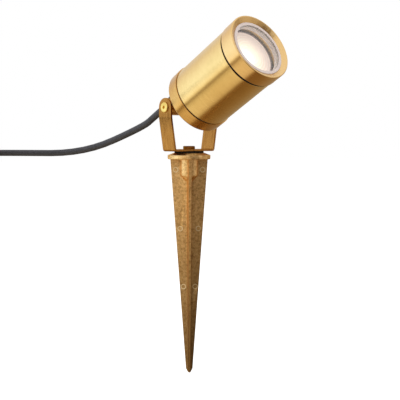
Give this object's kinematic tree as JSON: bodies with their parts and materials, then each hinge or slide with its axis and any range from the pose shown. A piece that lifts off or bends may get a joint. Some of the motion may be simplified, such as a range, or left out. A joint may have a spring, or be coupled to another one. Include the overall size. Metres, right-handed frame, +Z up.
{
  "type": "garden spike spotlight",
  "caption": "Garden spotlight: cylindrical head with a reflector lamp, tilting in a strap yoke on a finned ground spike, with a cable.",
  "frame": {"origin": "on the spike's axis at ground level, in the plane of the flange's underside", "axes": "+Z up along the spike, X along the tilt axis, the head looks towards -Y and upwards"},
  "size_m": [0.2236, 0.354, 0.3355],
  "materials": {
    "gold_head": "brushed satin",
    "cast_spike": "cast, mottled",
    "gold_yoke": "polished satin",
    "pale_screws": "satin",
    "dark_bolt": "satin",
    "black_rubber": "matte",
    "clear_silicone": "satin",
    "clear_glass": "polished",
    "lamp_ceramic": "matte",
    "lamp_diffuser": "frosted",
    "led_board": "matte",
    "plated_pins": "satin",
    "contact_brass": "satin",
    "block_white": "matte",
    "gland_brass": "satin",
    "core_brown": "satin",
    "core_blue": "satin",
    "core_earth": "satin",
    "lead_white": "matte",
    "bare_copper": "bright",
    "black_cable": "satin",
    "tie_black": "matte"
  },
  "bodies": {
    "spike": {"spike": "cast_spike", "pan_washer": "black_rubber", "pan_bolt": "dark_bolt"},
    "yoke": {"yoke": "gold_yoke", "supply_cord": "black_cable", "cord_coil": "black_cable", "cord_tie": "tie_black", "live_tail": "core_brown", "neutral_tail": "core_blue", "earth_tail": "core_earth", "bare_ends": "bare_copper"},
    "head": {"rear_cap": "gold_head", "rear_seal": "black_rubber", "body_tube": "gold_head", "pivot_screws": "pale_screws", "pivot_washers": "pale_screws", "lamp_holder": "lamp_ceramic", "holder_contacts": "contact_brass", "holder_bracket": "plated_pins", "bracket_screws": "plated_pins", "holder_screws": "plated_pins", "terminal_block": "block_white", "terminal_screws": "plated_pins", "live_core": "core_brown", "neutral_core": "core_blue", "earth_core": "core_earth", "holder_leads": "lead_white", "earth_tag": "contact_brass", "earth_screw": "plated_pins", "gland_body": "gland_brass", "gland_seal": "black_rubber", "gland_nut": "gland_brass", "strain_relief": "black_rubber", "head_lead": "black_cable"},
    "bezel_thread": {"front_oring": "black_rubber"},
    "bezel": {"front_bezel": "gold_head", "lens_gasket": "clear_silicone", "lens_glass": "clear_glass"},
    "lamp": {"lamp_body": "lamp_ceramic", "lamp_lens": "lamp_diffuser", "lamp_led_board": "led_board", "lamp_pins": "plated_pins"}
  },
  "joints": [
    {"name": "pan", "type": "hinge", "parent": "spike", "child": "yoke", "pos_m": [0, 0, 0.0077], "axis": [0, 0, 1], "range_deg": [-175, 175]},
    {"name": "tilt", "type": "hinge", "parent": "yoke", "child": "head", "pos_m": [0, 0, 0.0489], "axis": [-1, 0, 0], "range_deg": [-33, 46.7], "deforming": ["head_lead"]},
    {"name": "bezel_travel", "type": "slide", "parent": "head", "child": "bezel_thread", "axis": [0, -0.8805, 0.4741], "range_m": [0, 0.006]},
    {"name": "bezel_turn", "type": "hinge", "parent": "bezel_thread", "child": "bezel", "pos_m": [0, 0, 0.0489], "axis": [0, -0.8805, 0.4741], "range_deg": [0, 1440]},
    {"name": "lamp_twist", "type": "hinge", "parent": "head", "child": "lamp", "pos_m": [0, 0, 0.0489], "axis": [0, -0.8805, 0.4741], "range_deg": [0, 20]}
  ],
  "couplings": [
    {"joint": "bezel_travel", "follows": "bezel_turn", "m_per_rad": 0.00023873}
  ]
}
